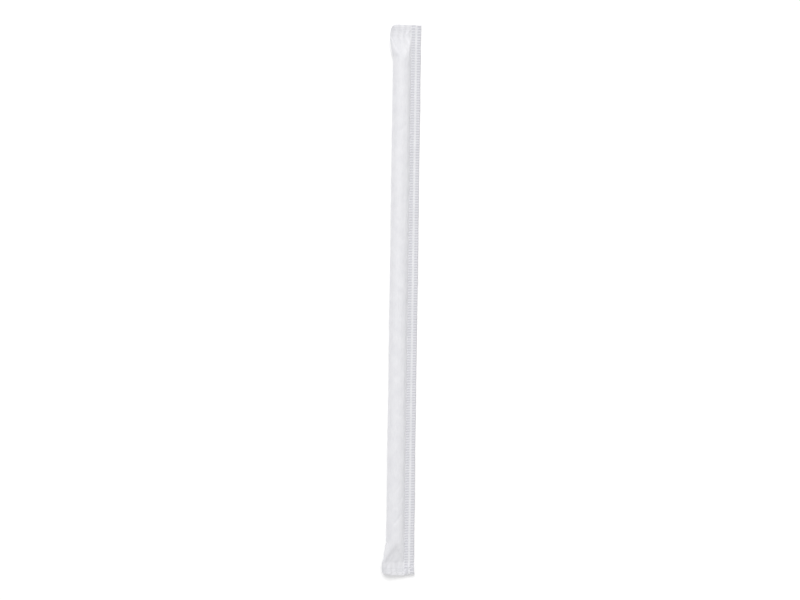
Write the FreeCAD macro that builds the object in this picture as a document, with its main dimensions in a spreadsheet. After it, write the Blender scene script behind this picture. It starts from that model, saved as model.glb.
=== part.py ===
import FreeCAD, Part
import math
import os

import Sketcher

# One drinking straw sealed in its paper sleeve, lying on a table.
#
# The sleeve is a single strip of thin paper folded lengthwise over the straw. The fold runs down one
# side. Down the other side the two plies are gripped in two rows of fine knurling, which stand out
# as a flat fin. Past each end of the straw the plies come together and are pressed flat.
#
# In each ply that closing is one flat facet, which widens from a narrow strip on the rim to the whole
# tab, with a cone on either side of it down to the tab's corner.
#
# The sleeve is drawn level: the fin lies in the plane of the straw's axis. It is then rolled about
# that axis until the fin's edge meets the table, which is how the straw comes to rest.

doc = FreeCAD.newDocument("WrappedStraw")

sizes = doc.addObject("Spreadsheet::Sheet", "Sizes")

sheetRows = [
    ("straw_diameter", 6.0, "outside of the straw under the paper"),
    ("straw_length", 180.0, "length of the straw"),
    ("end_margin", 12.0, "paper past each end of the straw"),
    ("tab_length", 4.6, "flat pressed part of that margin"),
    ("paper_thickness", 0.05, "one ply"),
    ("pressed_thickness", 0.24, "two plies with the relief that the rollers press in"),
    ("seam_gap", 0.9, "from the paper on the straw's side to the line where the plies meet"),
    ("fold_gap", 0.2, "from the paper on the straw's other side to the folded edge"),
    ("crest_width", 0.4, "strip along the top of the straw, where the facet past the rim starts"),
    ("rest_width", 1.2, "flat strip where the paper lies on the table"),
    ("cone_end", 0.3, "what each arc and straight run narrows to at the tab's corners"),
    ("row_width", 1.5, "each row of knurling, across the fin"),
    ("row_gap", 0.7, "plain strip between the two rows"),
    ("knurl_pitch", 0.97, "from one ridge to the next"),
    ("knurl_depth", 0.15, "depth of a groove"),
    ("knurl_width", 0.85, "width of a groove, which leaves a narrow crest before the next"),
    ("seal_inset", 0.9, "from the cut edge to the first line of the end seal"),
    ("seal_pitch", 0.6, "from one line of the end seal to the next"),
    ("seal_lines", 4, "lines in each end seal"),
    ("seal_depth", 0.08, "depth of a seal line"),
    ("seal_width", 0.3, "width of a seal line"),
    ("cutter_overrun", 0.01, "how far a groove is cut from outside the face"),
    ("seal_side", 0.8, "plain paper left between the seal lines and the folded edge"),
]

for row, (alias, value, note) in enumerate(sheetRows, start=1):
    sizes.set("A" + str(row), alias)
    sizes.set("B" + str(row), str(value))
    sizes.set("C" + str(row), note)
    sizes.setAlias("B" + str(row), alias)

doc.recompute()


def size(alias):
    return float(sizes.get(alias))


# Formulas shared by the sections. Each is the text that the sketches are bound to.
ROUND = "(Sizes.straw_diameter / 2 + Sizes.paper_thickness)"
HALF = "(Sizes.pressed_thickness / 2)"
REACH = "(" + ROUND + " + Sizes.seam_gap)"
FOLD = "(" + ROUND + " + Sizes.fold_gap)"
FIN = "(2 * Sizes.row_width + Sizes.row_gap)"
EDGE = "(" + REACH + " + " + FIN + ")"
# Straight runs of paper: seam line to straw, and straw to fold.
SEAM_RUN = "sqrt(" + REACH + " ^ 2 + " + HALF + " ^ 2 - " + ROUND + " ^ 2)"
FOLD_RUN = "sqrt(" + FOLD + " ^ 2 - " + ROUND + " ^ 2)"
# Angles about the straw's axis where the paper leaves the straw, on the seam side and the fold side.
SEAM_ANGLE = (
    "(atan(" + HALF + " / " + REACH + ") + acos(" + ROUND + " / sqrt(" + REACH + " ^ 2 + " + HALF + " ^ 2)))"
)
FOLD_ANGLE = "acos(" + ROUND + " / " + FOLD + ")"
WRAP = "((180 deg - " + SEAM_ANGLE + " - " + FOLD_ANGLE + ") / 1 rad)"
# Width of one ply from the seam line to the fold, the same when wrapped and when pressed flat.
PLY = "(" + SEAM_RUN + " + " + FOLD_RUN + " + " + ROUND + " * " + WRAP + ")"
# How far the sleeve rolls before the fin's edge meets the table.
AXIS_HEIGHT = "sqrt(" + ROUND + " ^ 2 - (Sizes.rest_width / 2) ^ 2)"
ROLL = (
    "(asin(" + AXIS_HEIGHT + " / sqrt(" + EDGE + " ^ 2 + " + HALF + " ^ 2)) - atan(" + HALF + " / " + EDGE + "))"
)

# The same figures as plain numbers, for where each sketch starts before it is solved.
roundRadius = size("straw_diameter") / 2 + size("paper_thickness")
halfThick = size("pressed_thickness") / 2
seamReach = roundRadius + size("seam_gap")
foldReach = roundRadius + size("fold_gap")
finWidth = 2 * size("row_width") + size("row_gap")
edgeReach = seamReach + finWidth
seamRun = math.sqrt(seamReach ** 2 + halfThick ** 2 - roundRadius ** 2)
foldRun = math.sqrt(foldReach ** 2 - roundRadius ** 2)
seamAngle = math.atan(halfThick / seamReach) + math.acos(roundRadius / math.hypot(seamReach, halfThick))
foldAngle = math.acos(roundRadius / foldReach)
plyWidth = seamRun + foldRun + roundRadius * (math.pi - seamAngle - foldAngle)
crestHalfAngle = math.asin(size("crest_width") / 2 / roundRadius)
restHalfAngle = math.asin(size("rest_width") / 2 / roundRadius)
axisHeight = roundRadius * math.cos(restHalfAngle)
roll = math.asin(axisHeight / math.hypot(edgeReach, halfThick)) - math.atan(halfThick / edgeReach)

body = doc.addObject("PartDesign::Body", "paper_wrapped_straw")
body.Label = "paper_wrapped_straw"


def originPart(role):
    return next(item for item in body.Origin.OriginFeatures if item.Role == role)


def sketchOn(name, role, away=""):
    """Starts a sketch on one of the sleeve's own planes, moved away from it by a bound distance."""
    sketch = body.newObject("Sketcher::SketchObject", name)
    sketch.AttachmentSupport = [(originPart(role), "")]
    sketch.MapMode = "FlatFace"
    if away:
        sketch.setExpression("AttachmentOffset.Base.z", away)
    return sketch


def pin(sketch, geometry, corner, across, up):
    """Fixes a corner by its distances from the straw's axis, each bound to the sheet."""
    point = sketch.getPoint(geometry, corner)
    for kind, value, formula in (("DistanceX", point.x, across), ("DistanceY", point.y, up)):
        index = sketch.addConstraint(Sketcher.Constraint(kind, -1, 1, geometry, corner, value))
        sketch.setExpression("Constraints[" + str(index) + "]", formula)


def close(sketch, base, count):
    """Joins count edges in a ring, starting from the edge numbered base."""
    for index in range(count):
        join = Sketcher.Constraint("Coincident", base + index, 2, base + (index + 1) % count, 1)
        sketch.addConstraint(join)


def at(angle):
    return (roundRadius * math.cos(angle), roundRadius * math.sin(angle))


def wrappedSection(name, away=""):
    """The paper drawn round the straw: two straight runs to the seam, a creased fold, two flat strips."""
    sketch = sketchOn(name, "XZ_Plane", away)
    rest = roll - math.pi / 2
    corners = [
        (edgeReach, -halfThick),
        (edgeReach, halfThick),
        (seamReach, halfThick),
        at(seamAngle),
        at(math.pi / 2 - crestHalfAngle),
        at(math.pi / 2 + crestHalfAngle),
        at(math.pi - foldAngle),
        (-foldReach, 0.0),
        at(math.pi + foldAngle),
        at(rest - restHalfAngle),
        at(rest + restHalfAngle),
        at(-seamAngle),
        (seamReach, -halfThick),
    ]
    arcs = {
        3: (seamAngle, math.pi / 2 - crestHalfAngle),
        5: (math.pi / 2 + crestHalfAngle, math.pi - foldAngle),
        8: (math.pi + foldAngle, 2 * math.pi + rest - restHalfAngle),
        10: (rest + restHalfAngle, -seamAngle),
    }
    centre = FreeCAD.Vector(0, 0, 0)
    circle = Part.Circle(centre, FreeCAD.Vector(0, 0, 1), roundRadius)
    for index, start in enumerate(corners):
        stop = corners[(index + 1) % len(corners)]
        if index in arcs:
            sketch.addGeometry(Part.ArcOfCircle(circle, arcs[index][0], arcs[index][1]), False)
        else:
            ends = (FreeCAD.Vector(start[0], start[1], 0), FreeCAD.Vector(stop[0], stop[1], 0))
            sketch.addGeometry(Part.LineSegment(ends[0], ends[1]), False)
    for index in arcs:
        sketch.addConstraint(Sketcher.Constraint("Coincident", index, 3, -1, 1))
    radius = sketch.addConstraint(Sketcher.Constraint("Radius", 3, roundRadius))
    sketch.setExpression("Constraints[" + str(radius) + "]", ROUND)
    for index in (5, 8, 10):
        sketch.addConstraint(Sketcher.Constraint("Equal", 3, index))
    # Where a straight run meets the straw it is tangent to it.
    for first, second in ((2, 3), (5, 6), (7, 8), (10, 11)):
        sketch.addConstraint(Sketcher.Constraint("Tangent", first, 2, second, 1))
    for first, second in ((0, 1), (1, 2), (3, 4), (4, 5), (6, 7), (8, 9), (9, 10), (11, 12), (12, 0)):
        sketch.addConstraint(Sketcher.Constraint("Coincident", first, 2, second, 1))
    pin(sketch, 0, 1, EDGE, "-" + HALF)
    pin(sketch, 0, 2, EDGE, HALF)
    pin(sketch, 2, 1, REACH, HALF)
    pin(sketch, 12, 1, REACH, "-" + HALF)
    pin(sketch, 7, 1, "-" + FOLD, "0 mm")
    for edge, alias, turn, formula in ((4, "crest_width", math.pi, "180 deg"), (9, "rest_width", roll, ROLL)):
        strip = sketch.addConstraint(Sketcher.Constraint("Distance", edge, 1, edge, 2, size(alias)))
        sketch.setExpression("Constraints[" + str(strip) + "]", "Sizes." + alias)
        lean = sketch.addConstraint(Sketcher.Constraint("Angle", -1, 1, edge, 1, turn))
        sketch.setExpression("Constraints[" + str(lean) + "]", formula)
    return sketch


def pressedSection(name, away):
    """The same strip pressed flat. The arcs and straight runs have narrowed to almost nothing at its
    two corners, and the strips on the straw have widened to the whole of each ply."""
    sketch = sketchOn(name, "XZ_Plane", away)
    fold, foldText = seamReach - plyWidth, "(" + REACH + " - " + PLY + ")"
    narrow = size("cone_end")
    level = {1: (halfThick, HALF), -1: (-halfThick, "-" + HALF), 0: (0.0, "0 mm")}
    corners = [(edgeReach, -1, EDGE), (edgeReach, 1, EDGE), (seamReach, 1, REACH)]
    for count in (1, 2):
        corners.append((seamReach - count * narrow, 1, "(" + REACH + " - " + str(count) + " * Sizes.cone_end)"))
    for count in (2, 1):
        corners.append((fold + count * narrow, 1, "(" + foldText + " + " + str(count) + " * Sizes.cone_end)"))
    corners.append((fold, 0, foldText))
    corners += [(across, -1, formula) for across, side, formula in reversed(corners[2:7])]
    corners = [(across,) + level[side][:1] + (formula,) + level[side][1:] for across, side, formula in corners]
    for index, corner in enumerate(corners):
        following = corners[(index + 1) % len(corners)]
        ends = (FreeCAD.Vector(corner[0], corner[1], 0), FreeCAD.Vector(following[0], following[1], 0))
        sketch.addGeometry(Part.LineSegment(ends[0], ends[1]), False)
    close(sketch, 0, len(corners))
    for index, corner in enumerate(corners):
        pin(sketch, index, 1, corner[2], corner[3])
    return sketch


def grooveSketch(name, away, first, firstText, family):
    """A V groove in the upper face and its twin in the lower face, half a pitch further along."""
    width, depth, pitch = (size(family + word) for word in ("_width", "_depth", "_pitch"))
    widthText, depthText, pitchText = ("Sizes." + family + word for word in ("_width", "_depth", "_pitch"))
    overrun = size("cutter_overrun")
    spread = width / 2 * (1 + overrun / depth)
    spreadText = "(" + widthText + " / 2 * (1 + Sizes.cutter_overrun / " + depthText + "))"
    sketch = sketchOn(name, "YZ_Plane", away)
    for sign, signText, centre, centreText in (
        (1, "", first, firstText),
        (-1, "-", first + pitch / 2, "(" + firstText + " + " + pitchText + " / 2)"),
    ):
        brim = (sign * (halfThick + overrun), signText + "(" + HALF + " + Sizes.cutter_overrun)")
        root = (sign * (halfThick - depth), signText + "(" + HALF + " - " + depthText + ")")
        corners = [
            (centre - spread, brim[0], "(" + centreText + " - " + spreadText + ")", brim[1]),
            (centre, root[0], centreText, root[1]),
            (centre + spread, brim[0], "(" + centreText + " + " + spreadText + ")", brim[1]),
        ]
        base = sketch.GeometryCount
        for index, corner in enumerate(corners):
            following = corners[(index + 1) % len(corners)]
            ends = (FreeCAD.Vector(corner[0], corner[1], 0), FreeCAD.Vector(following[0], following[1], 0))
            sketch.addGeometry(Part.LineSegment(ends[0], ends[1]), False)
        close(sketch, base, len(corners))
        for index, corner in enumerate(corners):
            pin(sketch, base + index, 1, corner[2], corner[3])
    return sketch


# The sleeve over the straw.
middleSection = wrappedSection("MiddleSection")
middle = body.newObject("PartDesign::Pad", "Middle")
middle.Profile = middleSection
middle.SideType = "Symmetric"
middle.setExpression("Length", "Sizes.straw_length")

# The shoulder: past the straw's rim the plies close from round to flat in straight-lined faces.
rimSection = wrappedSection("RimSection", "Sizes.straw_length / 2")
tabSection = pressedSection("TabSection", "Sizes.straw_length / 2 + Sizes.end_margin - Sizes.tab_length")
shoulder = body.newObject("PartDesign::AdditiveLoft", "Shoulder")
shoulder.Profile = rimSection
shoulder.Sections = [tabSection]
shoulder.Ruled = True

# The flat tab.
tab = body.newObject("PartDesign::Pad", "Tab")
tab.Profile = tabSection
tab.setExpression("Length", "Sizes.tab_length")

# The other end of the sleeve.
otherEnd = body.newObject("PartDesign::Mirrored", "OtherEnd")
otherEnd.Originals = [shoulder, tab]
otherEnd.MirrorPlane = (originPart("XZ_Plane"), [""])
body.Tip = otherEnd

# The end seals: fine lines across each tab, from near the folded edge to the seam.
SLEEVE_HALF = "(Sizes.straw_length / 2 + Sizes.end_margin)"
sleeveHalf = size("straw_length") / 2 + size("end_margin")
sealSketch = grooveSketch(
    "SealGrooves",
    "(" + REACH + " - " + PLY + " + Sizes.seal_side)",
    size("seal_inset") - sleeveHalf,
    "(Sizes.seal_inset - " + SLEEVE_HALF + ")",
    "seal",
)
sealCut = body.newObject("PartDesign::Pocket", "SealLine")
sealCut.Profile = sealSketch
sealCut.Reversed = True
sealCut.setExpression("Length", "(" + PLY + " - Sizes.seal_side)")

SEAL_SPAN = "(Sizes.seal_pitch * (Sizes.seal_lines - 1))"
sealLines = body.newObject("PartDesign::LinearPattern", "SealLines")
sealLines.Originals = [sealCut]
sealLines.Direction = (originPart("Y_Axis"), [""])
sealLines.setExpression("Length", SEAL_SPAN)
sealLines.setExpression("Occurrences", "Sizes.seal_lines")
sealLines.Direction2 = (originPart("Y_Axis"), [""])
sealLines.setExpression("Length2", "2 * " + SLEEVE_HALF + " - 2 * Sizes.seal_inset - " + SEAL_SPAN)
sealLines.Occurrences2 = 2
body.Tip = sealLines

# The knurling: two rows of fine cross grooves down the whole fin.
KNURLS = "floor(2 * " + SLEEVE_HALF + " / Sizes.knurl_pitch)"
knurls = math.floor(2 * sleeveHalf / size("knurl_pitch"))
knurlSketch = grooveSketch(
    "KnurlGrooves",
    REACH,
    -(knurls - 1) * size("knurl_pitch") / 2,
    "(-(" + KNURLS + " - 1) * Sizes.knurl_pitch / 2)",
    "knurl",
)
knurlCut = body.newObject("PartDesign::Pocket", "Knurl")
knurlCut.Profile = knurlSketch
knurlCut.Reversed = True
knurlCut.setExpression("Length", "Sizes.row_width")

knurlRows = body.newObject("PartDesign::LinearPattern", "KnurlRows")
knurlRows.Originals = [knurlCut]
knurlRows.Direction = (originPart("Y_Axis"), [""])
knurlRows.setExpression("Length", "Sizes.knurl_pitch * (" + KNURLS + " - 1)")
knurlRows.setExpression("Occurrences", KNURLS)
knurlRows.Direction2 = (originPart("X_Axis"), [""])
knurlRows.setExpression("Length2", "Sizes.row_width + Sizes.row_gap")
knurlRows.Occurrences2 = 2
knurlRows.Refine = False
body.Tip = knurlRows

# At rest the sleeve is rolled on to the table, with the middle of its outline over the origin.
LEFT = "max(" + ROUND + "; (" + PLY + " - " + REACH + ") * cos(" + ROLL + "))"
RIGHT = "(" + EDGE + " * cos(" + ROLL + ") + " + HALF + " * sin(" + ROLL + "))"
body.Placement = FreeCAD.Placement(
    FreeCAD.Vector(0, 0, axisHeight), FreeCAD.Rotation(FreeCAD.Vector(0, 1, 0), math.degrees(roll))
)
body.setExpression("Placement.Base.x", "(" + LEFT + " - " + RIGHT + ") / 2")
body.setExpression("Placement.Base.z", AXIS_HEIGHT)
body.setExpression("Placement.Rotation.Angle", ROLL)

doc.recompute()

for item in doc.Objects:
    if "Invalid" in item.State or "Error" in item.State:
        raise RuntimeError(item.Name + " did not build")
if body.Shape.isNull() or not body.Shape.isValid() or len(body.Shape.Solids) != 1:
    raise RuntimeError(body.Label + " is not one whole solid")

os.makedirs("parts", exist_ok=True)
body.Shape.exportStep("parts/" + body.Label + ".step")

box = body.Shape.optimalBoundingBox()
print(body.Label, round(body.Shape.Volume, 2), "mm3", "rolled", round(math.degrees(roll), 3))
print("x", round(box.XMin, 4), round(box.XMax, 4), "z", round(box.ZMin, 4), round(box.ZMax, 4))
print("y", round(box.YMin, 4), round(box.YMax, 4), "one ply", round(plyWidth, 3))
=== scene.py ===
import math

import bmesh
import bpy
from mathutils import Euler, Matrix, Vector, noise


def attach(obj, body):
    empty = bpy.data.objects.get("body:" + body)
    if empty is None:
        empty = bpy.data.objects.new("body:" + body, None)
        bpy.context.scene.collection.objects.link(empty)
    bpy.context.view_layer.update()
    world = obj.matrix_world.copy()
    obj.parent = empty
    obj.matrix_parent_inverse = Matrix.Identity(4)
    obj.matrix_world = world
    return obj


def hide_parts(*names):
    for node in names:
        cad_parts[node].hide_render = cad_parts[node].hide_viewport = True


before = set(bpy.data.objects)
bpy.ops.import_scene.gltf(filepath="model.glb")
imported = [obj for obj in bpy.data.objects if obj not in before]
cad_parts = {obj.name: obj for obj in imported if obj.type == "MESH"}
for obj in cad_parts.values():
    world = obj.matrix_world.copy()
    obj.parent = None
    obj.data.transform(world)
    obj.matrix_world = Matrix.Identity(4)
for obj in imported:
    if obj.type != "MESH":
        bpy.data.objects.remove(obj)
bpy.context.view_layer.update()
scene = bpy.context.scene
noise.seed_set(11)            # unseeded, the crumples would differ a little from run to run

# One straight drinking straw sealed in a paper sleeve, lying on a white table and seen from above.
# The sleeve is one strip of thin paper folded lengthwise, with the fold on the left. On the right
# the two layers are gripped in two rows of knurling. Sizes are in millimetres.
mm = 0.001

sleeve = {
    "strawDiameter": 6.0,
    "strawLength": 180.0,
    "endMargin": 12.0,        # paper past the straw's rim
    "tabLength": 4.6,         # the part of that margin that is pressed flat
    "layer": 0.05,            # thickness of the paper
    "halfGap": 0.005,         # between the middle of the two layers and each of them
    "seamReach": 3.95,        # straw's axis to where the two layers meet
    "foldReach": 3.25,        # straw's axis to the folded edge
    "foldCrease": 0.15,       # from the folded edge to where the layers are their full way apart
    "foldWander": 0.09,       # how far the folded edge strays from straight
    "foldWanderDepth": 0.9,   # how far in from the fold that still shows
    "crestWidth": 0.4,        # where the facet past the rim starts, on top of the straw
    "restWidth": 1.2,         # flat strip that lies on the table
    "clearance": 0.01,        # least height of any paper over the table
}

fin = {
    "rowWidth": 1.5,          # each row of knurling
    "rowGap": 0.7,            # plain strip between the rows
    "knurlPitch": 0.97,
    "knurlHeight": 0.1,       # how far the rollers push the layers up and down
    "knurlSpread": 0.35,      # how unevenly they do
    "knurlEdge": 0.14,        # how softly a row starts and ends
    "pressedThickness": 0.24,
    "rootDepth": 0.1,         # how far the fin reaches in between the layers
    "overlap": 0.06,          # how far the sleeve's paper runs on under it
    "wave": 0.05,
    "waveStart": 0.5,
    "leastLift": 0.12,        # how far the edge is bent up everywhere
    "lift": 0.5,              # and how much further in places
    "liftShift": 0.15,        # so that these are more than half of it
    "edgeWander": 0.09,
    "edgeBand": 0.8,          # outermost part of the fin, which that moves
    "layerStep": 0.06,        # the layers' cut edges don't quite meet
}

tab = {
    "sealInset": 0.9,
    "sealPitch": 0.6,
    "sealLines": 4,
    "sealHeight": 0.06,
    "sealSide": 0.8,          # plain paper beside the fold
    "sealFade": 0.3,
    "crinkleSize": (2.2, 2.9),
    "flatStart": 2.0,         # how far before the tab the layers' reliefs start to join
    "bow": 0.45,
    "bowStart": 4,            # how far before the tab it starts to bow
    "bowStop": 1,             # how far past the cut edge it would be full
    "bowMiddle": 0.5,
    "bowUneven": 0.6,
    "pleat": 0.11,            # soft lengthways waves past the rim
    "pleatWidth": 2.7,
    "pleatStart": 3,
    "pleatUneven": 2.2,
    "pleatFoldFade": (0.2, 1.8),
    "pleatSeamFade": 0.5,
    "cutWander": 0.2,
    "cutStep": 0.04,          # the upper layer is cut longer by this, the lower one shorter
    "foldBackWidth": 2.4,
    "frayedLength": 2.4,
}

strawRound = sleeve["strawDiameter"] / 2 + sleeve["layer"]
finWidth = 2 * fin["rowWidth"] + fin["rowGap"]
seamReach = sleeve["seamReach"]
finEdge = seamReach + finWidth
rimAt = sleeve["strawLength"] / 2
halfLength = rimAt + sleeve["endMargin"]
tabAt = halfLength - sleeve["tabLength"]
endsFrom = rimAt - 1          # from here on the relief and the grid are those of the ends

# The paper leaves the straw in straight runs, on to the seam and on to the fold.
seamRun = math.sqrt(seamReach ** 2 - strawRound ** 2)
foldRun = math.sqrt(sleeve["foldReach"] ** 2 - strawRound ** 2)
seamAngle = math.acos(strawRound / seamReach)
foldAngle = math.acos(strawRound / sleeve["foldReach"])
layerWidth = seamRun + foldRun + strawRound * (math.pi - seamAngle - foldAngle)
roundStop = layerWidth - seamRun

# The straw lies on the table rolled over until the fin's edge touches it too.
axisHeight = math.sqrt(strawRound ** 2 - (sleeve["restWidth"] / 2) ** 2)
halfPressed = fin["pressedThickness"] / 2
rollAngle = math.asin(axisHeight / math.hypot(finEdge, halfPressed)) - math.atan(halfPressed / finEdge)
leftReach = max(strawRound, (layerWidth - seamReach) * math.cos(rollAngle))
rightReach = finEdge * math.cos(rollAngle) + halfPressed * math.sin(rollAngle)
layDown = Matrix.Translation(Vector(((leftReach - rightReach) / 2, 0, axisHeight)) * mm)
layDown = layDown @ Matrix.Rotation(rollAngle, 4, "Y") @ Matrix.Scale(mm, 4)

# Places on a layer are given by the distance from the fold. Each layer has a strip along the top of
# the straw, or along the table, from which its facet spreads past the rim.
topAt = foldRun + strawRound * (math.pi / 2 - foldAngle)
strips = {
    1: (topAt - sleeve["crestWidth"] / 2, topAt + sleeve["crestWidth"] / 2),
    -1: (
        topAt + strawRound * rollAngle - sleeve["restWidth"] / 2,
        topAt + strawRound * rollAngle + sleeve["restWidth"] / 2,
    ),
}
foldCorner = Vector((seamReach - layerWidth, 0))
seamCorner = Vector((seamReach, 0))
print("sleeve rolled", round(math.degrees(rollAngle), 2), "degrees, layer", round(layerWidth, 3), "mm wide")


def smooth(low, high, value):
    share = min(max((value - low) / (high - low), 0.0), 1.0)
    return share * share * (3 - 2 * share)


# Even steps from start up to stop, which is left out.
def steps(start, stop, step):
    count = max(1, round((stop - start) / step))
    return [start + (stop - start) * index / count for index in range(count)]


# Unevenness of the paper: how wide its waves are, how long, and their level in the noise.
ripples = {
    "foldEdge": (1, 16, 5.3),
    "cockle": (1.6, 5.0, 9.1),
    "streak": (1.0, 38.0, 2.4),
    "slack": (3.0, 19.0, 3.7),
    "slackFine": (1.5, 5.5, 6.2),
    "gathers": (8, 11, 1.3),
    "knurlDepth": (2.0, 7.0, 1.9),
    "finWave": (1.4, 4.0, 7.7),
    "finLift": (1, 31, 4.2),
    "finEdge": (1, 9, 6.6),
    "layerStep": (1, 24, 2.2),
    "bow": (6.0, 5.0, 3.1),
    "pleats": (9.0, 6.0, 1.7),
    "cutEdge": (2.6, 40.0, 7.3),
}


# One of them at one place, from -1 to 1.
def ripple(name, across, along):
    width, length, level = ripples[name]
    return noise.noise(Vector((across / width, along / length, level)))


def onStraw(angle):
    return Vector((math.cos(angle), math.sin(angle))) * strawRound


# The upper layer where it wraps the straw.
def wrapSpot(reach):
    if reach < foldRun:
        return Vector((-sleeve["foldReach"], 0)).lerp(onStraw(math.pi - foldAngle), reach / foldRun)
    if reach < roundStop:
        return onStraw(math.pi - foldAngle - (reach - foldRun) / strawRound)
    return onStraw(seamAngle).lerp(seamCorner, (reach - layerWidth + seamRun) / seamRun)


# The same layer anywhere along the sleeve. Past the straw's rim it is a flat facet, which widens from
# the strip on the straw to the whole tab, and on each side of that a cone down to the tab's corner.
def layerSpot(reach, far, strip):
    if reach >= layerWidth:
        return Vector((seamReach + reach - layerWidth, 0))
    share = min(max((far - rimAt) / (tabAt - rimAt), 0.0), 0.9999)    # just short of 1, where the cones end
    facetStart = strip[0] * (1 - share)
    facetStop = layerWidth - (layerWidth - strip[1]) * (1 - share)
    if reach < facetStart:
        return wrapSpot(reach / (1 - share)).lerp(foldCorner, share)
    if reach > facetStop:
        return wrapSpot(layerWidth - (layerWidth - reach) / (1 - share)).lerp(seamCorner, share)
    start = wrapSpot(strip[0]).lerp(foldCorner, share)
    stop = wrapSpot(strip[1]).lerp(seamCorner, share)
    return start.lerp(stop, (reach - facetStart) / (facetStop - facetStart))


# Across is counted from the fold, above nought on the upper layer and below it on the lower one.
def bodyPlace(across, along):
    side = 1 if across >= 0 else -1
    reach = abs(across)
    spot = layerSpot(reach, abs(along), strips[side])
    apart = (sleeve["layer"] + sleeve["halfGap"]) * min(1.0, reach / sleeve["foldCrease"])
    wander = sleeve["foldWander"] * ripple("foldEdge", 0, along)
    wander *= 1 - smooth(0, sleeve["foldWanderDepth"], reach)
    return Vector((spot.x + wander, along, side * max(spot.y, apart)))


# Faint creases from handling: where each one lies, which way it leans off the length, and its depth.
creases = [
    {"across": 8.9, "along": 99.6, "lean": 47, "length": 5.0, "width": 0.32, "depth": -0.15},
    {"across": 3.4, "along": 98.6, "lean": -32, "length": 6.0, "width": 0.35, "depth": 0.1},
    {"across": 6.9, "along": 92.0, "lean": 14, "length": 13.0, "width": 0.5, "depth": 0.15},
    {"across": 3.0, "along": 78.5, "lean": 62, "length": 5.0, "width": 0.35, "depth": 0.07},
    {"across": 4.6, "along": 63.5, "lean": 46, "length": 7.0, "width": 0.4, "depth": 0.1},
    {"across": 5.6, "along": 47.0, "lean": 32, "length": 7.0, "width": 0.45, "depth": 0.06},
    {"across": 3.6, "along": 29.0, "lean": -40, "length": 6.0, "width": 0.4, "depth": 0.07},
    {"across": 4.4, "along": 8.0, "lean": -24, "length": 9.0, "width": 0.5, "depth": 0.06},
    {"across": 6.4, "along": -22.0, "lean": 18, "length": 11.0, "width": 0.5, "depth": 0.06},
    {"across": 3.6, "along": -47.0, "lean": -34, "length": 6.0, "width": 0.4, "depth": 0.07},
    {"across": 4.6, "along": -61.0, "lean": 26, "length": 9.0, "width": 0.5, "depth": 0.07},
    {"across": 4.0, "along": -70.5, "lean": 31, "length": 8.5, "width": 0.4, "depth": 0.12},
    {"across": 5.2, "along": -75.0, "lean": 35, "length": 8.0, "width": 0.38, "depth": 0.13},
    {"across": 2.6, "along": -77.5, "lean": 33, "length": 7.0, "width": 0.38, "depth": 0.11},
    {"across": 4.8, "along": -81.0, "lean": 40, "length": 7.0, "width": 0.38, "depth": 0.14},
    {"across": 7.6, "along": -91.0, "lean": -18, "length": 9.0, "width": 0.5, "depth": 0.11},
    {"across": 3.0, "along": -98.0, "lean": 28, "length": 7.0, "width": 0.35, "depth": 0.13},
    {"across": 7.2, "along": -98.6, "lean": -48, "length": 6.0, "width": 0.32, "depth": 0.14},
]
creaseFade = (0.2, 0.5)       # shares of its length, from its middle, over which a crease runs out


# A place in the direction of a line that leans off the length.
def leaning(across, along, lean):
    turned = math.radians(lean)
    sideways = across * math.cos(turned) - along * math.sin(turned)
    return sideways, across * math.sin(turned) + along * math.cos(turned)


# What the creases take off at one place on the sleeve.
def creaseDepth(across, along):
    depth = 0.0
    for crease in creases:
        sideways, ahead = across - crease["across"], along - crease["along"]
        if abs(ahead) > crease["length"] / 2 or abs(sideways) > crease["length"]:
            continue
        off, run = leaning(sideways, ahead, crease["lean"])
        fade = 1 - smooth(*creaseFade, abs(run) / crease["length"])
        depth += crease["depth"] * fade * math.exp(-(off / crease["width"]) ** 2)
    return depth


# The ends are pressed in a few fine lines across the sleeve.
def sealShare(reach, far):
    nearest = halfLength - tab["sealInset"]
    furthest = nearest - tab["sealPitch"] * (tab["sealLines"] - 1)
    edge = tab["sealPitch"] / 2
    share = smooth(furthest - edge, furthest - edge / 2, far)
    share *= 1 - smooth(nearest + edge / 2, nearest + edge, far)
    return share * smooth(tab["sealSide"] - tab["sealFade"], tab["sealSide"], reach)


def sealLine(far):
    return math.cos(2 * math.pi * (halfLength - tab["sealInset"] - far) / tab["sealPitch"])


bodyPaper = {
    "cockle": 0.035,          # small unevenness of thin paper
    "streak": 0.05,           # long soft ridges from being drawn tight
    "slack": 0.16,            # where the paper spans free of the straw
    "slackShares": (0.6, 0.5),    # of its coarse waves and of its fine ones
    "crinkle": 0.085,         # small facets with sharp edges between them
    "crinkleSize": (2.6, 6.5),
    "crinkleLevel": 4.6,
    "crinkleMiddle": 0.4,
    "wrinkle": 0.26,          # slanting wrinkles that start at the knurling and at the fold
    "wrinkleSize": (1.5, 7.5),
    "wrinkleSharpness": 4.5,
    "wrinkleCurve": 1.5,
    "wrinkleLeast": 0.3,
    "hollow": 0.22,           # the facets past the rim sink in
    "hollowEdge": 1.6,
    "rim": 0.07,              # the straw's rim pressed through
    "rimRadius": 2.7,
    "rimWidth": 0.35,
    "rimSquash": 1.25,        # the print is shorter along the sleeve than across it
    "rimFade": (0.4, 1.2),    # how far past the rim its print starts and is full
    "roundFade": (0.3, 0.6),  # out from the straw's round part, and in on it
    "freeFade": (0.3, 1.5),   # before the rim, and past it
    "foldHold": 0.8,          # the edges hold the paper still
    "seamHold": 0.5,
    "softenings": 3,
    "softened": (0.5, 0.3),   # how far into the tab, and how far in from the edges
}

wrinkles = [
    {"edge": "seam", "depth": 3.0, "share": 1.0, "lean": 38, "level": 8.8},
    {"edge": "seam", "depth": 3.0, "share": 0.7, "lean": -30, "level": 5.1},
    {"edge": "fold", "depth": 2.2, "share": 0.6, "lean": 33, "level": 3.3},
]


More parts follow.
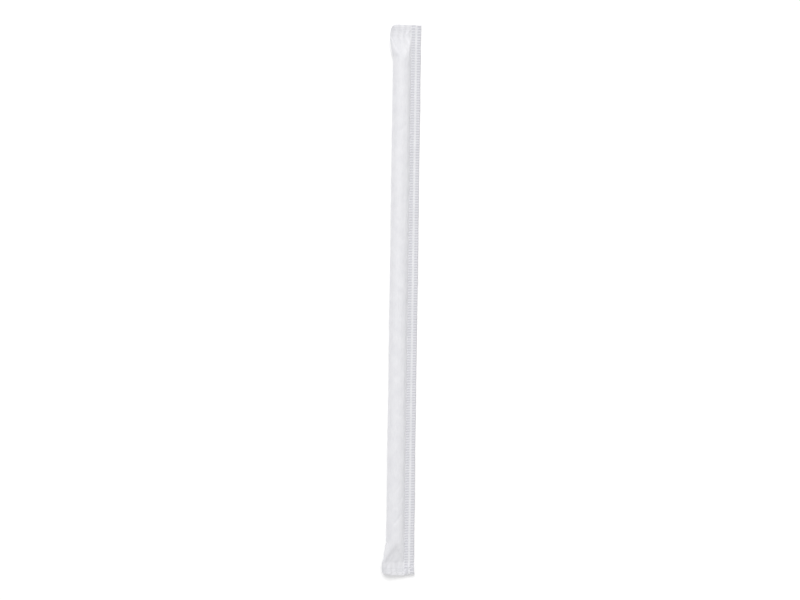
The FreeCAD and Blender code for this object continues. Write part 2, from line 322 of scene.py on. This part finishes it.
# Sharp ridges with soft slopes, deepest at the edge where they start.
def gathers(across, along):
    width, length = bodyPaper["wrinkleSize"]
    total = 0.0
    for wrinkle in wrinkles:
        fromEdge = abs(across) if wrinkle["edge"] == "fold" else layerWidth - abs(across)
        sideways, run = leaning(fromEdge, along, wrinkle["lean"])
        slope = abs(noise.noise(Vector((sideways / width, run / length, wrinkle["level"]))))
        ridge = max(0.0, 1 - bodyPaper["wrinkleSharpness"] * slope) ** bodyPaper["wrinkleCurve"]
        total += wrinkle["share"] * math.exp(-(fromEdge / wrinkle["depth"]) ** 2) * ridge
    uneven = bodyPaper["wrinkleLeast"] + max(0.0, ripple("gathers", across, along))
    return bodyPaper["wrinkle"] * total * uneven


def crinkles(across, along, size):
    place = Vector((across / size[0], along / size[1], bodyPaper["crinkleLevel"]))
    return bodyPaper["crinkle"] * (noise.turbulence(place, 2, True) - bodyPaper["crinkleMiddle"])


# The facet past the rim sinks in, and the open end of the straw prints through it as an arc.
def facetRelief(reach, far, strip):
    share = min(max((far - rimAt) / (tabAt - rimAt), 0.0), 1.0)
    start = strip[0] * (1 - share)
    stop = layerWidth - (layerWidth - strip[1]) * (1 - share)
    edge = bodyPaper["hollowEdge"]
    inFacet = smooth(0, edge, reach - start) * smooth(0, edge, stop - reach)
    height = -bodyPaper["hollow"] * inFacet * 4 * share * (1 - share)
    ring = math.hypot(reach - (strip[0] + strip[1]) / 2, (far - rimAt) * bodyPaper["rimSquash"])
    arc = math.exp(-((ring - bodyPaper["rimRadius"]) / bodyPaper["rimWidth"]) ** 2)
    return height + bodyPaper["rim"] * arc * smooth(*bodyPaper["rimFade"], far - rimAt)


# What each layer has for itself along the straw.
def ownRelief(across, along):
    reach, far = abs(across), abs(along)
    side = 1 if across >= 0 else -1
    out, inwards = bodyPaper["roundFade"]
    onRound = smooth(foldRun - out, foldRun + inwards, reach)
    onRound *= 1 - smooth(roundStop - inwards, roundStop + out, reach)
    before, past = bodyPaper["freeFade"]
    free = max(1 - onRound, smooth(rimAt - before, rimAt + past, far))
    coarse, fine = bodyPaper["slackShares"]
    height = bodyPaper["cockle"] * ripple("cockle", across, along)
    height += bodyPaper["streak"] * ripple("streak", across, along)
    height += crinkles(across, along, bodyPaper["crinkleSize"])
    slack = coarse * ripple("slack", across, along) + fine * ripple("slackFine", across, along)
    height += bodyPaper["slack"] * free * slack
    height += gathers(across, along)
    if side > 0:
        height -= creaseDepth(reach, along)
    if far > endsFrom:
        height += facetRelief(reach, far, strips[side])
    return height


# What the two layers share where the ends are pressed.
def pressedRelief(reach, along):
    far = abs(along)
    height = bodyPaper["cockle"] * ripple("cockle", reach, along)
    height += crinkles(reach, along, tab["crinkleSize"])
    height += tab["sealHeight"] * sealLine(far) * sealShare(reach, far)
    return height - creaseDepth(reach, along)


def bodyRelief(across, along):
    reach = abs(across)
    side = 1 if across >= 0 else -1
    hold = smooth(0, bodyPaper["foldHold"], reach)
    hold *= 1 - smooth(layerWidth - bodyPaper["seamHold"], layerWidth, reach)
    flat = smooth(tabAt - tab["flatStart"], tabAt, abs(along))
    height = 0.0
    if flat < 1:
        height += (1 - flat) * ownRelief(across, along)
    if flat > 0:
        height += side * flat * pressedRelief(reach, along)
    return hold * height


def rowShare(out):
    edge = fin["knurlEdge"]
    first = smooth(0, edge, out) * (1 - smooth(fin["rowWidth"] - edge, fin["rowWidth"], out))
    second = smooth(fin["rowWidth"] + fin["rowGap"], fin["rowWidth"] + fin["rowGap"] + edge, out)
    return max(first, second)


def knurlLine(along):
    return math.cos(2 * math.pi * along / fin["knurlPitch"])


# The fin: both layers go up and down together, and the edge is a little wavy.
def finPlace(across, along):
    out = abs(across) - layerWidth
    if out < 0:
        return Vector((seamReach + out, along, 0))
    side = math.copysign(1, across)
    depth = fin["knurlHeight"] * (1 + fin["knurlSpread"] * ripple("knurlDepth", out, along))
    height = depth * rowShare(out) * knurlLine(along)
    height += fin["wave"] * ripple("finWave", out, along) * smooth(0, fin["waveStart"], out)
    lift = fin["lift"] * max(0.0, ripple("finLift", 0, along) + fin["liftShift"])
    height += (out / finWidth) ** 2 * (fin["leastLift"] + lift)
    height += side * (sleeve["layer"] + sleeve["halfGap"])
    wander = fin["edgeWander"] * ripple("finEdge", 0, along)
    wander += side * fin["layerStep"] * ripple("layerStep", 0, along)
    wander *= smooth(finWidth - fin["edgeBand"], finWidth, out)
    return Vector((seamReach + out + wander, along, height))


# How the head, 1, and the foot, -1, were handled: how far each drew in past the rim, how its cut edge
# slants, falls back at the fold and is frayed, and where and how hard it is crumpled.
ends = {
    1: {
        "drawIn": 1.15,
        "slant": 0.42,
        "foldBack": 0.3,
        "frayed": 0.12,
        "crumpledAt": (6.6, 101.5),
        "crumpledWidth": 2.6,
        "crumple": 0.25,
    },
    -1: {
        "drawIn": 1.2,
        "slant": 0.42,
        "foldBack": 0.0,
        "frayed": 0.3,
        "crumpledAt": (6.4, -101.2),
        "crumpledWidth": 4.4,
        "crumple": 1.4,
    },
}

crumpleLook = {
    "size": (1.8, 1.5),
    "level": 5.9,
    "fade": (0.25, 1.0),      # shares of the crumpled width
    "jumble": 0.3,            # how far it moves the paper any way, as a share of the height
    "jumbleSize": 1.3,
}

# Corners that curl: the curl starts at a line "start" short of the corner and goes round "radius".
curls = [
    {"corner": (-6.0, 102.0), "towards": (-1.0, 0.1), "start": 3.0, "radius": 2.4, "turn": 34},
    {"corner": (-6.0, 102.0), "towards": (-0.7, 0.7), "start": 2.4, "radius": 1.8, "turn": 28},
    {"corner": (-6.0, -102.0), "towards": (-0.86, -0.5), "start": 4.4, "radius": 1.8, "turn": -92},
    {"corner": (7.65, -102.0), "towards": (0.6, -0.8), "start": 3.6, "radius": 3.0, "turn": 36},
    {"corner": (7.65, 102.0), "towards": (0.7, 0.7), "start": 1.8, "radius": 2.0, "turn": 24},
]


def curlPaper(spot):
    for curl in curls:
        towards = Vector((*curl["towards"], 0)).normalized()
        past = (spot - Vector((*curl["corner"], 0))).dot(towards) + curl["start"]
        if past <= 0:
            continue
        side = math.copysign(1, curl["turn"])
        radius = curl["radius"]
        angle = min(past / radius, math.radians(abs(curl["turn"])))
        straight = past - angle * radius
        fromAxis = radius - side * spot.z
        ahead = fromAxis * math.sin(angle) + straight * math.cos(angle)
        rise = radius - fromAxis * math.cos(angle) + straight * math.sin(angle)
        spot = spot + towards * (ahead - past)
        spot.z = side * rise
    return spot


# Crumpled paper rises most, moves a little lengthwise, and sideways only towards the seam.
def crumplePaper(reach, along, spot, end):
    away = math.hypot(spot.x - end["crumpledAt"][0], spot.y - end["crumpledAt"][1]) / end["crumpledWidth"]
    crumpled = end["crumple"] * (1 - smooth(*crumpleLook["fade"], away))
    crumpled += end["frayed"] * smooth(halfLength - tab["frayedLength"], halfLength, abs(along))
    if crumpled > 0:
        width, length = crumpleLook["size"]
        place = Vector((reach / width, along / length, crumpleLook["level"]))
        jumble = crumpleLook["jumble"] * crumpled * noise.noise_vector(place * crumpleLook["jumbleSize"])
        inwards = min(max(seamReach - spot.x, -1.0), 1.0)
        spot += Vector((abs(jumble.x) * inwards, jumble.y, jumble.z))
        spot.z += crumpled * noise.turbulence(place, 2, True)
    return spot


# What the ends do with both layers at once: they draw in, bow and wave, and their corners crumple.
def bendEnd(across, along, spot):
    reach, far = abs(across), abs(along)
    if far < endsFrom:
        return spot
    whichEnd = 1 if along > 0 else -1
    end = ends[whichEnd]
    middle = (layerWidth + finWidth) / 2
    lean = (reach - middle) / middle
    spot = spot.copy()
    spot.x += end["drawIn"] * smooth(rimAt, tabAt, far) * max(0.0, 1 - reach / layerWidth)
    bow = tab["bow"] * smooth(tabAt - tab["bowStart"], halfLength + tab["bowStop"], far)
    spot.z += bow * (tab["bowMiddle"] * lean * lean + tab["bowUneven"] * ripple("bow", reach, along))
    uneven = tab["pleatUneven"] * ripple("pleats", reach, along)
    pleats = math.sin(2 * math.pi * reach / tab["pleatWidth"] + uneven)
    fade = tab["pleatSeamFade"]
    inside = smooth(*tab["pleatFoldFade"], reach)
    inside *= 1 - smooth(layerWidth - fade, layerWidth + fade, reach)
    spot.z += tab["pleat"] * smooth(tabAt - tab["pleatStart"], tabAt, far) * inside * pleats
    fallBack = end["foldBack"] * (1 - smooth(0, tab["foldBackWidth"], reach))
    cut = tab["cutWander"] * ripple("cutEdge", reach, along) + end["slant"] * lean
    cut += math.copysign(tab["cutStep"], across) - fallBack
    spot.y += whichEnd * cut * smooth(tabAt, halfLength, far)
    return curlPaper(crumplePaper(reach, along, spot, end))


# How much the rollers greyed the pressed paper, for its material, on the whole; and, from line to line,
# painted shade that darkens each knurl and seal groove.
pressedGreyAndGrooveShadeLevels = {"knurl": (0.6, 0.4), "seal": (0.16, 0.16)}


def pressedShare(reach, along):
    if reach > layerWidth:
        level, grooveShade = pressedGreyAndGrooveShadeLevels["knurl"]
        # painted shade: darker in each knurl groove, lighter on each crest
        return rowShare(reach - layerWidth) * (level - grooveShade * knurlLine(along))
    level, grooveShade = pressedGreyAndGrooveShadeLevels["seal"]
    # painted shade: darker in each seal groove
    return sealShare(reach, abs(along)) * (level - grooveShade * sealLine(abs(along)))


# A grid of paper put in place corner by corner, softened past the rims, then given its relief. It
# keeps its flat coordinates, and its pressed grey with painted shade in the grooves, for the material.
def paperSheet(name, across, along, place, relief=None):
    mesh = bmesh.new()
    columns, rows = len(across) - 1, len(along) - 1
    bmesh.ops.create_grid(mesh, x_segments=columns, y_segments=rows, size=0.5)
    flat = mesh.verts.layers.float_vector.new("paper")
    softer = []
    pastTab, fromEdge = bodyPaper["softened"]
    for corner in mesh.verts:
        sideways = across[round((corner.co.x + 0.5) * columns)]
        ahead = along[round((corner.co.y + 0.5) * rows)]
        reach, far = abs(sideways), abs(ahead)
        corner[flat] = (sideways, ahead, pressedShare(reach, ahead))
        corner.co = place(sideways, ahead)
        if endsFrom < far < tabAt + pastTab and fromEdge < reach < layerWidth - fromEdge:
            softer.append(corner)
    if relief:
        for turn in range(bodyPaper["softenings"]):
            bmesh.ops.smooth_vert(
                mesh, verts=softer, factor=0.5, use_axis_x=True, use_axis_y=True, use_axis_z=True
            )
    mesh.normal_update()
    for corner in mesh.verts:
        sideways, ahead = corner[flat][0], corner[flat][1]
        if relief:
            corner.co += corner.normal * relief(sideways, ahead)
        corner.co = bendEnd(sideways, ahead, corner.co)
    mesh.transform(layDown)
    for corner in mesh.verts:
        corner.co.z = max(corner.co.z, sleeve["clearance"] * mm)
    data = bpy.data.meshes.new(name)
    mesh.to_mesh(data)
    mesh.free()
    for face in data.polygons:
        face.use_smooth = True
    piece = bpy.data.objects.new(name, data)
    scene.collection.objects.link(piece)
    return piece


def hexToLinear(colour):
    parts = [int(colour[index:index + 2], 16) / 255 for index in (1, 3, 5)]
    return [part / 12.92 if part <= 0.04045 else ((part + 0.055) / 1.055) ** 2.4 for part in parts] + [1.0]


def addNode(tree, kind, settings=None, links=None):
    node = tree.nodes.new(kind)
    for key, value in (settings or {}).items():
        if isinstance(key, int) or key in node.inputs:
            node.inputs[key].default_value = value
        else:
            setattr(node, key, value)
    for socket, source in (links or {}).items():
        tree.links.new(source, node.inputs[socket])
    return node


# Machine-glazed wrapping paper, thin and bleached: a cool white with a satin face, cloudy where the
# fibres lie thicker, and a little greyer and glossier where rollers pressed the layers together, with
# painted shade that darkens the knurl and seal grooves.
paperLook = {
    "white": "#ECECEF",
    "cloud": "#E2E2E6",
    # grey of pressed paper, also used as painted shade in the grooves
    "pressed": "#D0D0D6",
    "cloudSize": 4.5,
    "mottle": (0.35, 0.65),   # the part of the noise that goes from white to cloud
    "fibreShare": 0.45,       # of the mottle, and the rest is clouds
    "fibreWidth": 0.45,       # real fibres are 0.03 mm wide, too fine to show
    "fibreLength": 2.2,
    "fibreHeight": 0.08,
    "grainSize": 0.5,
    "grainShare": 0.5,
    "roughness": 0.52,
    "pressedRoughness": 0.4,
}


def makePaper():
    material = bpy.data.materials.new("machineGlazedPaper")
    material.use_nodes = True
    tree = material.node_tree
    tree.nodes.clear()
    flat = addNode(tree, "ShaderNodeAttribute", {"attribute_name": "paper"}).outputs["Vector"]
    pressed = addNode(tree, "ShaderNodeSeparateXYZ", {}, {0: flat}).outputs["Z"]
    clouds = addNode(
        tree, "ShaderNodeTexNoise", {"Scale": 1 / paperLook["cloudSize"], "Detail": 4.0}, {"Vector": flat}
    ).outputs["Fac"]
    lengthways = addNode(
        tree,
        "ShaderNodeMapping",
        {"Scale": (1 / paperLook["fibreWidth"], 1 / paperLook["fibreLength"], 0)},
        {"Vector": flat},
    ).outputs[0]
    fibres = addNode(
        tree, "ShaderNodeTexNoise", {"Scale": 1.0, "Detail": 3.0, "Roughness": 0.6}, {"Vector": lengthways}
    ).outputs["Fac"]
    grain = addNode(
        tree, "ShaderNodeTexNoise", {"Scale": 1 / paperLook["grainSize"], "Detail": 3.0}, {"Vector": flat}
    ).outputs["Fac"]
    mottle = addNode(
        tree, "ShaderNodeMix", {"Factor": paperLook["fibreShare"]}, {2: clouds, 3: fibres}
    ).outputs[0]
    low, high = paperLook["mottle"]
    mottleSpread = addNode(
        tree, "ShaderNodeMapRange", {"From Min": low, "From Max": high}, {"Value": mottle}
    ).outputs[0]
    sheetColour = addNode(
        tree,
        "ShaderNodeMix",
        {"data_type": "RGBA", 6: hexToLinear(paperLook["white"]), 7: hexToLinear(paperLook["cloud"])},
        {"Factor": mottleSpread},
    ).outputs[2]
    # the pressed paper's grey, with painted shade darkening the knurl and seal grooves
    colour = addNode(
        tree,
        "ShaderNodeMix",
        {"data_type": "RGBA", 7: hexToLinear(paperLook["pressed"])},
        {"Factor": pressed, 6: sheetColour},
    ).outputs[2]
    polish = addNode(
        tree,
        "ShaderNodeMapRange",
        {"To Min": paperLook["roughness"], "To Max": paperLook["pressedRoughness"]},
        {"Value": pressed},
    ).outputs[0]
    relief = addNode(
        tree, "ShaderNodeMix", {"Factor": paperLook["grainShare"]}, {2: fibres, 3: grain}
    ).outputs[0]
    bump = addNode(
        tree,
        "ShaderNodeBump",
        {"Strength": 1.0, "Distance": paperLook["fibreHeight"] * mm},
        {"Height": relief},
    ).outputs[0]
    surface = addNode(
        tree,
        "ShaderNodeBsdfPrincipled",
        {},
        {"Base Color": colour, "Roughness": polish, "Normal": bump},
    )
    addNode(tree, "ShaderNodeOutputMaterial", {}, {"Surface": surface.outputs[0]})
    return material


def finish(piece, material):
    wall = piece.modifiers.new("layer", "SOLIDIFY")
    wall.thickness = sleeve["layer"] * mm
    wall.offset = -1
    piece.data.materials.append(material)
    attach(piece, "root")
    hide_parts("paper_wrapped_straw")
    print(piece.name, len(piece.data.polygons), "faces before its thickness")


wrappingPaper = makePaper()

# The grid is finer at the ends, where the facets and the seals are, and on the layer that is seen.
grid = {
    "endRow": 0.12,
    "shoulderRow": 0.24,
    "middleRow": 0.4,
    "upper": (0.18, 0.19),    # columns on the straight runs, and round the straw
    "lower": (0.38, 0.42),
    "finStart": (0.05, 0.4),  # first column on the fin, and where the even ones start
    "finColumns": (0.35, 0.36),
    "rowsPerKnurl": 6,
}


def layerColumns(straight, bent):
    columns = steps(0, foldRun, straight) + steps(foldRun, roundStop, bent)
    return columns + steps(roundStop, layerWidth, straight) + [layerWidth, layerWidth + fin["overlap"]]


endRows = steps(tabAt, halfLength, grid["endRow"]) + [halfLength]
shoulderRows = steps(endsFrom, tabAt, grid["shoulderRow"])
middleRows = steps(-endsFrom, endsFrom, grid["middleRow"])
along = [-value for value in reversed(shoulderRows + endRows)] + middleRows[1:] + shoulderRows + endRows
across = [-value for value in reversed(layerColumns(*grid["lower"]))][:-1] + layerColumns(*grid["upper"])
finish(paperSheet("sleeve_paper", across, along, bodyPlace, bodyRelief), wrappingPaper)

# Across the fin, columns lie on both sides of each row's soft edges and evenly in between.
row, gap, edge = fin["rowWidth"], fin["rowGap"], fin["knurlEdge"]
near, even = grid["finStart"]
firstRow, secondRow = grid["finColumns"]
outs = [0, near, edge] + steps(even, row - edge, firstRow) + [row - edge, row, row + gap / 2, row + gap]
outs += [row + gap + edge] + steps(row + gap + even, finWidth, secondRow) + [finWidth]
across = [-(layerWidth + out) for out in reversed(outs)]
across += [layerWidth - fin["rootDepth"]] + [layerWidth + out for out in outs]
along = steps(-halfLength, halfLength, fin["knurlPitch"] / grid["rowsPerKnurl"]) + [halfLength]
finish(paperSheet("seam_fin", across, along, finPlace), wrappingPaper)

# The table: white and matt, and large enough to run out of the picture.
tableLook = {"reach": 1.5, "white": "#FFFFFF", "roughness": 0.9}    # reach in metres from its middle
floorMesh = bmesh.new()
bmesh.ops.create_grid(floorMesh, x_segments=1, y_segments=1, size=tableLook["reach"])
floorData = bpy.data.meshes.new("table")
floorMesh.to_mesh(floorData)
floorMesh.free()
floor = bpy.data.objects.new("table", floorData)
scene.collection.objects.link(floor)

# The lamp's place and size are in metres and its power in watts.
light = {
    "surroundings": 0.64,
    "keyPower": 19.0,
    "keySize": 0.9,
    "keySpot": (-0.1, 1.0, 1.85),
    "tableGlow": 0.08,        # only where the lit table is seen, which then shows as white
}


# How far a surface is seen rather than lit: by the camera, in a gloss or through something clear.
def addSeen(tree):
    path = addNode(tree, "ShaderNodeLightPath")
    seen = path.outputs["Is Camera Ray"]
    for other in ("Is Glossy Ray", "Is Transmission Ray"):
        seen = addNode(
            tree, "ShaderNodeMath", {"operation": "MAXIMUM"}, {0: seen, 1: path.outputs[other]}
        ).outputs[0]
    return seen


# Matt white laminate: an even white that keeps the straw's soft shadow.
tableTop = bpy.data.materials.new("mattWhiteLaminate")
tableTop.use_nodes = True
tree = tableTop.node_tree
tree.nodes.clear()
laminate = addNode(
    tree,
    "ShaderNodeBsdfPrincipled",
    {"Base Color": hexToLinear(tableLook["white"]), "Roughness": tableLook["roughness"]},
)
glowStrength = addNode(
    tree, "ShaderNodeMath", {"operation": "MULTIPLY", 1: light["tableGlow"]}, {0: addSeen(tree)}
)
glow = addNode(tree, "ShaderNodeEmission", {}, {"Strength": glowStrength.outputs[0]})
table = addNode(tree, "ShaderNodeAddShader", {}, {0: laminate.outputs[0], 1: glow.outputs[0]})
addNode(tree, "ShaderNodeOutputMaterial", {}, {"Surface": table.outputs[0]})
floor.data.materials.append(tableTop)

# Plain white surroundings light the paper, and show as white where they are seen.
world = bpy.data.worlds.new("studio")
world.use_nodes = True
tree = world.node_tree
tree.nodes.clear()
lit = addNode(tree, "ShaderNodeBackground", {"Color": (1, 1, 1, 1), "Strength": light["surroundings"]})
backdrop = addNode(tree, "ShaderNodeBackground", {"Color": (1, 1, 1, 1), "Strength": 1.0})
shown = addNode(
    tree, "ShaderNodeMixShader", {}, {0: addSeen(tree), 1: lit.outputs[0], 2: backdrop.outputs[0]}
)
addNode(tree, "ShaderNodeOutputWorld", {}, {"Surface": shown.outputs[0]})
scene.world = world

keyLight = bpy.data.lights.new("keyLamp", "AREA")
keyLight.shape = "SQUARE"
keyLight.size = light["keySize"]
keyLight.energy = light["keyPower"]
keyLamp = bpy.data.objects.new("keyLamp", keyLight)
keyLamp.location = light["keySpot"]
keyLamp.rotation_euler = (-Vector(light["keySpot"])).to_track_quat("-Z", "Y").to_euler()
scene.collection.objects.link(keyLamp)

# Straight down, with the sleeve nearly the height of the picture and turned a little as it hangs.
view = {"lens": 85.0, "sensor": 36.0, "picture": (800, 600), "sleeveShare": 548 / 600, "turn": 0.8}
camera = bpy.data.cameras.new("camera")
camera.lens = view["lens"]
camera.sensor_width = view["sensor"]
cameraObject = bpy.data.objects.new("camera", camera)
pictureWidth = 2 * halfLength * mm / view["sleeveShare"] * view["picture"][0] / view["picture"][1]
cameraObject.location = (0, 0, pictureWidth * view["lens"] / view["sensor"])
cameraObject.rotation_euler = Euler((0, 0, math.radians(view["turn"])))
scene.collection.objects.link(cameraObject)
scene.camera = cameraObject
scene.view_settings.view_transform = "Standard"
print("table, lamp and camera placed")
